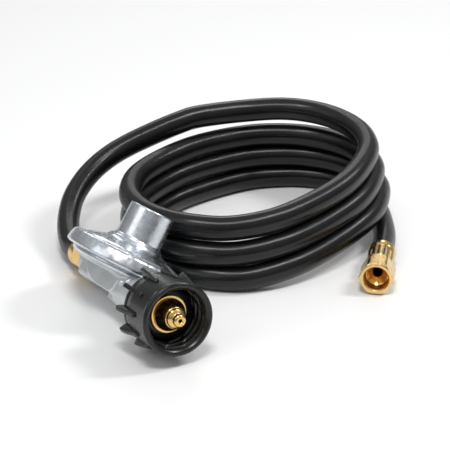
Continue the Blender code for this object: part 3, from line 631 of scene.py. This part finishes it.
def extruded(outline, axis_low, axis_high, to_axes):
    """A closed outline swept between two planes; to_axes(u, v, w) gives x, y, z in millimetres."""
    bm = bmesh.new()
    low = [bm.verts.new(Vector(to_axes(u, v, axis_low)) * MM) for u, v in outline]
    high = [bm.verts.new(Vector(to_axes(u, v, axis_high)) * MM) for u, v in outline]
    bm.faces.new(low)
    bm.faces.new(list(reversed(high)))
    for i in range(len(outline)):
        j = (i + 1) % len(outline)
        bm.faces.new((low[i], high[i], high[j], low[j]))
    return bm


def make_casting(mats):
    """The cast boss under the pan, with its inlet neck, outlet collar, webs and side pads."""
    keel = [(-11.9, 9.0), (-11.9, -3.6), (-11.4, -5.4), (-10.0, -6.4), (-8.0, -6.7)]
    keel += [(-u, v) for u, v in reversed(keel)]
    parts = [extruded(keel, -31.0, 30.0, lambda u, v, w: (u, w, v))]
    neck = [(0, 19), (12, 19, 0), (12, 34.0, 1.5), (10.8, 38.5, 1), (10.8, 49.2, 0.8), (9.6, 50, 0.8),
            (0, 50)]
    collar = [(0, 10), (10.6, 10, 0), (10.6, 27.8, 0.3), (12.0, 29.2, 0.5), (12.0, 35.6, 0.8),
              (11.2, 36.0, 0.4), (0, 36)]
    for outline, place in ((neck, TO_INLET), (collar, OUTLET)):
        parts.append(turned(lathe(fillet(outline, 0.5), 64), place))
    parts.append(lathe([(0, 4.6), (25.5, 4.6), (31.0, 6.6), (31.0, 9.0), (0, 9.0)], 64))
    parts.append(box((-7.4, -21, -9.6), (7.4, -10.6, 0)))
    parts.append(box((-2.7, -21, -10.8), (2.7, -6.9, 0)))
    web = [(-48.5, 8.0), (-40.5, 11.0), (-30.0, 11.8), (-24.0, 9.0), (-24.0, 0.0), (-48.5, 0.0)]
    parts.append(extruded(web, -1.4, 1.4, lambda u, v, w: (w, u, v)))
    pad = [(24.0, 8.6), (23.6, 3.0), (20.0, -0.4), (15.4, -2.9), (8.0, -5.0), (0.6, -6.0), (-18.0, -6.0),
           (-21.5, -3.0), (-22.5, 2.6), (-15.0, 1.0), (-7.9, 0.0), (-1.0, 1.6), (3.0, 4.6), (4.4, 8.6)]
    gusset = [(-29.6, 0.0), (-30.9, 0.4), (-31.4, 6.0), (-30.9, 12.5), (-24.0, 10.0), (-24.0, 0.0)]
    for side in (-1, 1):
        low, high = sorted((side * 10.0, side * 12.75))
        parts.append(extruded(pad, low, high, lambda u, v, w: (w, u, v)))
        low, high = sorted((side * 5.2, side * 6.6))
        parts.append(extruded(gusset, low, high, lambda u, v, w: (w, u, v)))
        bump = lathe(fillet([(0, 0), (1.3, 0), (1.3, 2.6), (0, 2.6)], 0.6), 20)
        bmesh.ops.scale(bump, vec=(1, 0.9, 1), verts=bump.verts)
        parts.append(turned(bump, Matrix.Translation(Vector((side * 12.0, -26.5, 0.9)) * MM)))
    casting = new_object("cast_boss", joined(parts), REGULATOR, 40)
    remesh = casting.modifiers.new("remesh", "REMESH")
    remesh.mode = "VOXEL"
    remesh.voxel_size = 0.38 * MM
    soften = casting.modifiers.new("soften", "SMOOTH")
    soften.factor = 0.5
    soften.iterations = 3
    apply_modifiers(casting, 180)
    hollow = [(0, 20), (5.3, 20), (5.3, 24.6), (4.3, 24.6), (4.3, 32.0), (7.0, 32.0), (7.0, 60.0),
              (0, 60.0)]
    boolean(casting, turned(lathe(hollow, 48), TO_INLET), "DIFFERENCE")
    outlet_bore = [(0, 22.6), (8.5, 22.6), (8.5, 45), (0, 45)]
    boolean(casting, turned(lathe(outlet_bore, 48), OUTLET), "DIFFERENCE")
    finish_piece(casting, mats["cast"], "cast_zinc", "housing", "body_casting")


def make_bonnet(mats):
    """The domed cover over the diaphragm, with the spring tower on it and a vent through it."""
    outline = [(28.6, 15.4, 0), (33.0, 15.4), (33.0, 17.8), (31.0, 17.9, 0.1), (30.6, 18.9, 0.4),
               (28.8, 20.4, 1.2), (22.0, 22.7, 3), (18.6, 23.9, 1.0), (17.4, 25.0, 0.6),
               (16.7, 26.2, 0.5), (15.2, 26.5, 0.4), (14.9, 27.4, 0.4), (14.1, 27.9, 0.5),
               (14.1, 46.7, 0.35), (13.6, 47.3, 0.3), (11.2, 47.3, 0.2), (10.9, 47.0, 0.1),
               (10.9, 25.5), (13.5, 23.4), (21.0, 20.6), (26.4, 18.4)]
    bonnet = new_object("bonnet_shell", lathe(fillet(outline, 0.4), 160), REGULATOR, 30)
    swing, out, up = math.radians(150), 23.5, 21.0
    vent_at = Matrix.Translation(Vector((out * math.cos(swing), out * math.sin(swing), up)) * MM)
    vent = [(0, -6), (2.6, -6), (2.6, 0.9, 0.3), (3.4, 1.9), (3.4, 6), (0, 6)]
    boolean(bonnet, turned(lathe(fillet(vent, 0.1), 48), vent_at), "DIFFERENCE")
    finish_piece(bonnet, mats["zinc"], "bright_zinc", "housing", "bonnet")


def rib_mesh():
    """One grip rib in lathe axes: a fin that is tall at the rear and sinks to a rounded nose in front."""
    bm = bmesh.new()
    rear, length, half, root = 52.7, 17.9, 1.35, 18.6
    stations = [0.0, 0.15, 0.4, 2.0, 5.0, 8.0, 11.0, 14.0, 15.6, 16.4, 17.0, 17.4, 17.7, 17.9]
    rings = []
    for s in stations:
        share = s / length
        top = 24.6 - 2.4 * smooth_step((share - 0.1) / 0.9) - 0.35 * (1 - min(1, s / 0.4))
        nose = max(0.0, (s - 16.2) / 1.8)
        wide = (half + 0.25 * smooth_step((share - 0.6) / 0.25)) * math.sqrt(max(0.02, 1 - nose * nose))
        top = root + (top - root) * (1 - 0.25 * nose ** 3)
        along = rear + s
        edge = min(0.35, wide * 0.5)
        ring = [(-wide, root), (-wide, top - edge), (-wide + edge * 0.3, top - edge * 0.3),
                (-wide + edge, top), (wide - edge, top), (wide - edge * 0.3, top - edge * 0.3),
                (wide, top - edge), (wide, root)]
        rings.append([bm.verts.new(Vector((r, t, along)) * MM) for t, r in ring])
    for first, second in zip(rings, rings[1:]):
        for k in range(len(first)):
            nxt = (k + 1) % len(first)
            bm.faces.new((first[k], first[nxt], second[nxt], second[k]))
    bm.faces.new(rings[0])
    bm.faces.new(list(reversed(rings[-1])))
    return bm


def make_hand_nut(mats):
    """The ribbed nut with its thread, and the bushing inside it."""
    rear, front, back, bore = 52.5, 83.5, 58.0, 17.0
    pitch, ribs = 5.08, 11

    def threads(radius, height, angle):
        if not bore - 0.5 < radius < bore + 0.5 or height > front - 2.2 or height < 60.5:
            return radius, height
        hold = smooth_step((height - 61.5) / 3) * smooth_step((front - 2.4 - height) / 1.5)
        share = (height / pitch - angle / TAU) % 1.0
        tooth = smooth_step((0.27 - abs(share - 0.5)) / 0.10)
        return radius + hold * (0.55 - 0.95 * tooth), height

    outline = [(11.3, rear, 0.3), (19.3, rear, 0.7), (20.1, rear + 0.9, 0.5), (20.1, rear + 3.3, 0.3),
               (19.4, rear + 3.6, 0.2), (19.4, rear + 4.5, 0.2), (20.3, rear + 4.9, 0.4),
               (20.8, rear + 9), (20.8, front - 3.3, 0.6), (21.3, front - 2.4, 0.5),
               (21.3, front - 0.9, 0.8), (20.5, front, 0.7), (18.8, front, 0.8),
               (17.6, front - 1.3, 0.5), (bore, front - 2.4, 0.3), (bore, back, 0.4),
               (11.3, back, 0.2)]
    barrel = densify(fillet(outline, 0.4), 0.55)
    nut = new_object("hand_nut_barrel", turned(lathe(barrel, 132, threads), TO_INLET), REGULATOR, 45)
    fins = []
    for i in range(ribs):
        fins.append(turned(rib_mesh(), TO_INLET @ Matrix.Rotation(TAU * (i + 0.25) / ribs, 4, "Z")))
    boolean(nut, joined(fins), "UNION")
    finish_piece(nut, mats["nylon"], "black_nylon", "hand_nut", "qcc_nut")
    bushing = [(10.6, 58.3, 0), (16.2, 58.3), (16.2, 66.6, 0.8), (14.4, 69.0, 0.6), (11.4, 69.6, 0.5),
               (10.6, 69.6, 0)]
    bushing = new_object("bushing", turned(lathe(fillet(bushing, 0.4), 96), TO_INLET), REGULATOR, 40)
    finish_piece(bushing, mats["nylon"], "black_nylon", "hand_nut", "thermal_bushing")


def make_nipple(mats):
    """The brass inlet nipple, the stepped nose at its tip, and the ring that holds the bushing on it."""
    nipple = [(2.2, 36.0, 0), (6.0, 36.0), (6.7, 37.0), (6.7, 50.3, 0), (10.3, 50.3),
              (10.3, 69.6, 0.3), (8.4, 69.6, 0), (8.4, 71.4, 0), (9.4, 71.4), (9.35, 72.7, 0.4),
              (8.9, 73.6, 0.4), (6.7, 78.3, 0.6), (6.0, 79.2, 0.4), (4.3, 79.2, 0.1), (4.3, 55.0, 0),
              (2.2, 54.0, 0)]
    nipple = new_object("nipple", turned(lathe(fillet(nipple, 0.3), 96), TO_INLET), REGULATOR, 40)
    finish_piece(nipple, mats["brass"], "brass", "housing", "inlet_nipple")
    tip = [(1.0, 73.4, 0), (4.0, 73.4, 0), (4.0, 79.4, 0), (5.8, 79.4, 0.3), (5.6, 80.6, 0.5),
           (4.4, 81.4, 0.5), (3.3, 82.1, 0.4), (3.15, 82.8, 0.3), (3.7, 83.5, 0.4), (3.75, 84.9, 0.5),
           (2.9, 85.8, 0.5), (1.5, 85.8, 0.25), (1.0, 85.2, 0.1)]
    tip = new_object("nipple_nose", turned(lathe(fillet(tip, 0.3, 4), 96), TO_INLET), REGULATOR, 40)
    finish_piece(tip, mats["brass"], "brass", "housing", "nipple_tip")
    ring = [(8.7, 69.9, 0.2), (10.9, 69.9, 0.3), (11.1, 70.5, 0.3), (10.9, 71.2, 0.3), (8.7, 71.2, 0.2)]
    ring = new_object("snap_ring", turned(lathe(fillet(ring, 0.3), 96), TO_INLET), REGULATOR, 40)
    finish_piece(ring, mats["brass"], "brass", "housing", "retaining_ring")


def make_adapter(mats):
    """The brass outlet adapter: a hexagon, and the sleeve that holds the hose."""
    bar = hexagon(17.5, 38.0, 53.2, 0.8, 12)
    adapter = new_object("outlet_hexagon", turned(bar, OUTLET), REGULATOR, 30)
    sleeve = [(0, 24.0), (7.6, 24.0), (8.2, 25.0), (8.2, 38.2, 0), (8.2, 53.0, 0), (8.5, 53.4, 0.2),
              (8.7, 54.4, 0.4), (8.7, 60.3, 0.5), (8.0, 61.2, 0.4), (0, 61.2)]
    boolean(adapter, turned(lathe(fillet(sleeve, 0.3), 72), OUTLET), "UNION")
    boolean(adapter, turned(lathe([(0, 20), (3.6, 20), (3.6, 66), (0, 66)], 48), OUTLET), "DIFFERENCE")
    finish_piece(adapter, mats["brass"], "brass", "housing", "outlet_adapter")


def finish_cad_nodes(mats):
    """The inner pieces keep their CAD shapes, with their edges eased and their own finishes."""
    looks = {
        "vent_screen": ("steel", "spring_steel"), "tower_cap": ("zinc", "plain_zinc"),
        "adjusting_screw": ("acetal", "acetal"), "main_spring": ("steel", "spring_steel"),
        "diaphragm": ("nitrile", "nitrile"), "diaphragm_plate": ("steel", "spring_steel"),
        "diaphragm_stem": ("cast", "plain_zinc"), "lever": ("steel", "spring_steel"),
        "lever_pin": ("steel", "spring_steel"), "valve_holder": ("cast", "plain_zinc"),
        "valve_disc": ("nitrile", "nitrile"), "inlet_orifice": ("brass", "brass"),
        "check_poppet": ("acetal", "acetal"), "check_spring": ("steel", "spring_steel"),
    }
    for node, (look, slot) in looks.items():
        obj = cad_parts[node]
        obj.data.materials.clear()
        obj.data.materials.append(mats[look])
        if "spring" not in node:
            ease = obj.modifiers.new("eased_edges", "BEVEL")
            ease.width = 0.12 * MM
            ease.segments = 2
            ease.limit_method = "ANGLE"
            ease.angle_limit = math.radians(40)


def main():
    add_camera()
    mats = {
        "zinc": polished_zinc(), "cast": cast_zinc(),
        "brass": turned_brass("turned_brass", (0.84, 0.56, 0.21), 0.80, REGULATOR),
        "far_brass": turned_brass("fitting_brass", (0.86, 0.60, 0.25), 0.80, FAR),
        "copper": turned_brass("seat_brass", (0.84, 0.47, 0.18), 0.82, FAR),
        "nylon": moulded_nylon(), "hose": hose_rubber(),
        "steel": hidden_metal("drawn_steel", (0.56, 0.57, 0.59), 0.3),
        "nitrile": hidden_soft("nitrile", (0.03, 0.03, 0.03), 0.6),
        "acetal": hidden_soft("acetal", (0.74, 0.72, 0.66), 0.42),
    }
    hose, centre_line, length = make_hose(mats["hose"])
    far_pieces = make_far_end(mats)
    make_pan(mats)
    make_casting(mats)
    make_bonnet(mats)
    make_hand_nut(mats)
    make_nipple(mats)
    make_adapter(mats)
    finish_cad_nodes(mats)
    add_stage()
    add_softboxes()


main()
